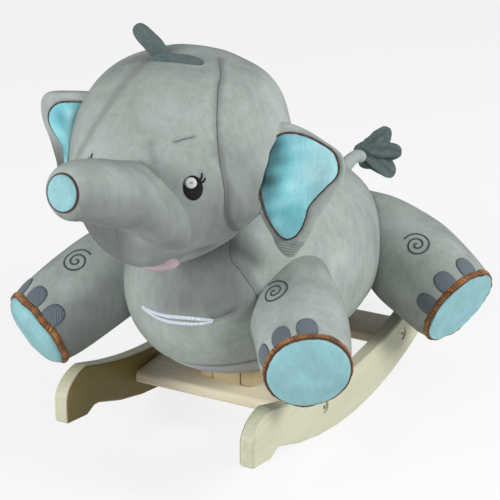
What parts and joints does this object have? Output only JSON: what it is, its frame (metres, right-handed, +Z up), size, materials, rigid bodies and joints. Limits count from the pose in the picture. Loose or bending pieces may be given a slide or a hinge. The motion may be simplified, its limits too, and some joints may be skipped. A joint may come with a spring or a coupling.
{
  "type": "rocking elephant",
  "caption": "Stuffed elephant rocker: a plush body with a turned head, raised trunk, lined ears, tail and soft legs, sewn round a wooden seat frame on curved birch runners.",
  "frame": {"origin": "middle of the whole toy's footprint, on the floor", "axes": "+Z up, the elephant looks along -Y, +X is its own left side"},
  "size_m": [0.4754, 0.834, 0.519],
  "materials": {
    "birch": "satin lacquer",
    "plywood": "raw",
    "steel": "dark zinc",
    "foam": "open foam in scrim",
    "grey": "short velour pile",
    "lavender": "short velour pile",
    "blue": "soft minky pile",
    "slate": "soft minky pile",
    "pink": "soft minky pile",
    "burgundy": "piped cord",
    "russet": "braided cord"
  },
  "bodies": {
    "root": {"runner_left": "birch", "runner_right": "birch", "rocker_bolt_front_left": "steel", "barrel_nut_front_left": "steel", "rocker_bolt_front_right": "steel", "barrel_nut_front_right": "steel", "slat_front": "birch", "frame_bolt_front": "steel", "rocker_bolt_rear_left": "steel", "barrel_nut_rear_left": "steel", "rocker_bolt_rear_right": "steel", "barrel_nut_rear_right": "steel", "slat_rear": "birch", "frame_bolt_rear": "steel", "frame_rail_left": "plywood", "frame_rail_right": "plywood", "frame_block_front": "plywood", "frame_block_rear": "plywood", "seat_board": "plywood", "seat_foam": "foam", "body": "grey", "belly_panel": "lavender", "head": "grey", "trunk": "grey", "trunk_tip": "blue", "trunk_piping": "burgundy", "mouth_lining": "pink", "hair_tuft": "slate", "leg_front_left": "grey", "sole_front_left": "blue", "foot_cord_front_left": "russet", "toenail_front_left_1": "slate", "toenail_front_left_2": "slate", "toenail_front_left_3": "slate", "leg_front_right": "grey", "sole_front_right": "blue", "foot_cord_front_right": "russet", "toenail_front_right_1": "slate", "toenail_front_right_2": "slate", "toenail_front_right_3": "slate", "leg_rear_left": "grey", "sole_rear_left": "blue", "foot_cord_rear_left": "russet", "toenail_rear_left_1": "slate", "toenail_rear_left_2": "slate", "toenail_rear_left_3": "slate", "leg_rear_right": "grey", "sole_rear_right": "blue", "foot_cord_rear_right": "russet", "toenail_rear_right_1": "slate", "toenail_rear_right_2": "slate", "toenail_rear_right_3": "slate"},
    "ear_left": {"ear_left": "grey", "ear_lining_left": "blue", "ear_piping_left": "burgundy"},
    "ear_right": {"ear_right": "grey", "ear_lining_right": "blue", "ear_piping_right": "burgundy"},
    "tail": {"tail_stem": "grey", "tail_tuft": "slate"}
  },
  "joints": [
    {"name": "ear_left_flap", "type": "hinge", "parent": "root", "child": "ear_left", "pos_m": [0.11014, -0.1069, 0.3746], "axis": [0.2134, 0.0427, 0.976], "range_deg": [-20, 20], "stiffness_Nm_per_rad": 0.1},
    {"name": "ear_right_flap", "type": "hinge", "parent": "root", "child": "ear_right", "pos_m": [-0.10992, -0.14571, 0.39023], "axis": [-0.0793, -0.0089, 0.9968], "range_deg": [-20, 20], "stiffness_Nm_per_rad": 0.1},
    {"name": "tail_swing", "type": "hinge", "parent": "root", "child": "tail", "pos_m": [0, 0.29547, 0.208], "axis": [0, 0, 1], "range_deg": [-30, 30], "stiffness_Nm_per_rad": 0.1}
  ]
}
